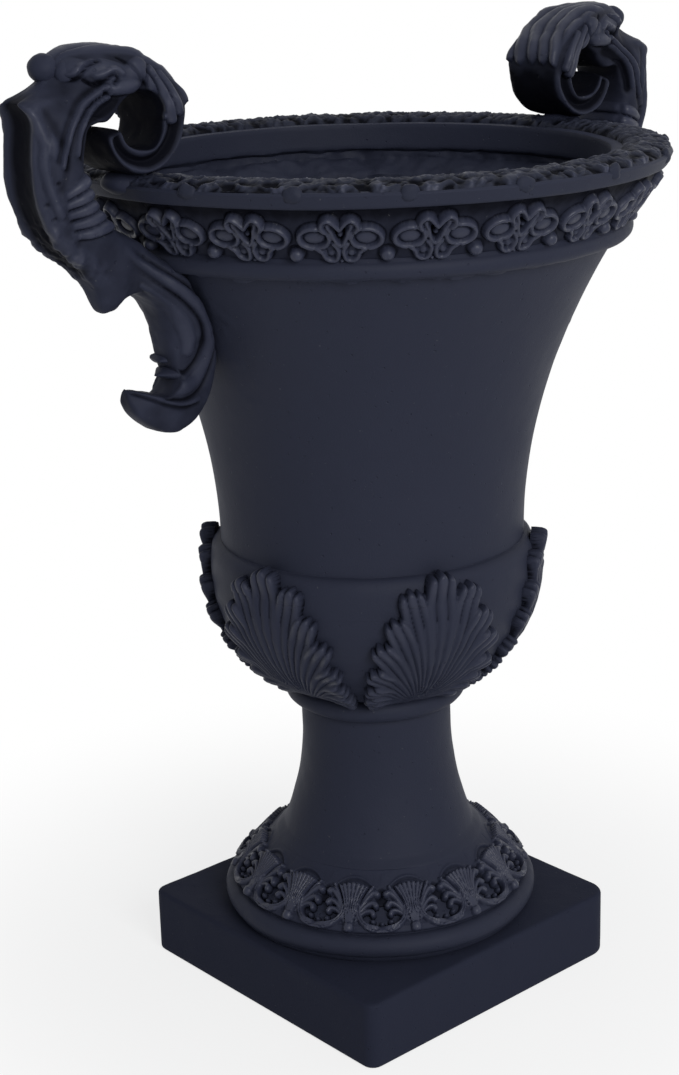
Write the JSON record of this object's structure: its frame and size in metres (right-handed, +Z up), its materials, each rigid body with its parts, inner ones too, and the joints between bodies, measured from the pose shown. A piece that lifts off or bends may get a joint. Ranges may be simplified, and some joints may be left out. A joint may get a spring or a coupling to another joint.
{
  "type": "urn planter",
  "caption": "Classical cast-stone urn planter on a square plinth, with scrolled handles, an ornamented rim and an open planting cavity.",
  "frame": {"origin": "on the ground, under the middle of the square plinth", "axes": "+Z up along the turned axis; the handles lie on the X axis and the plinth's sides are parallel to X and Y"},
  "size_m": [0.624, 0.4836, 0.784],
  "materials": {
    "cast_stone": "satin dark blue-grey coating over cast concrete",
    "galvanised_steel": "galvanised",
    "seal_rubber": "matt"
  },
  "bodies": {
    "root": {"plinth": "cast_stone", "pedestal": "cast_stone", "bowl_cup": "cast_stone", "bell_body": "cast_stone", "rim_ring": "cast_stone", "rim_crest": "cast_stone", "handle_left": "cast_stone", "handle_right": "cast_stone", "acanthus_leaves": "cast_stone", "foot_palmettes": "cast_stone", "frieze_motifs": "cast_stone", "frieze_beads": "cast_stone", "handle_dowels": "galvanised_steel", "tie_rod": "galvanised_steel", "tie_nuts": "galvanised_steel", "tie_washers": "galvanised_steel", "tie_seal": "seal_rubber"}
  },
  "joints": []
}
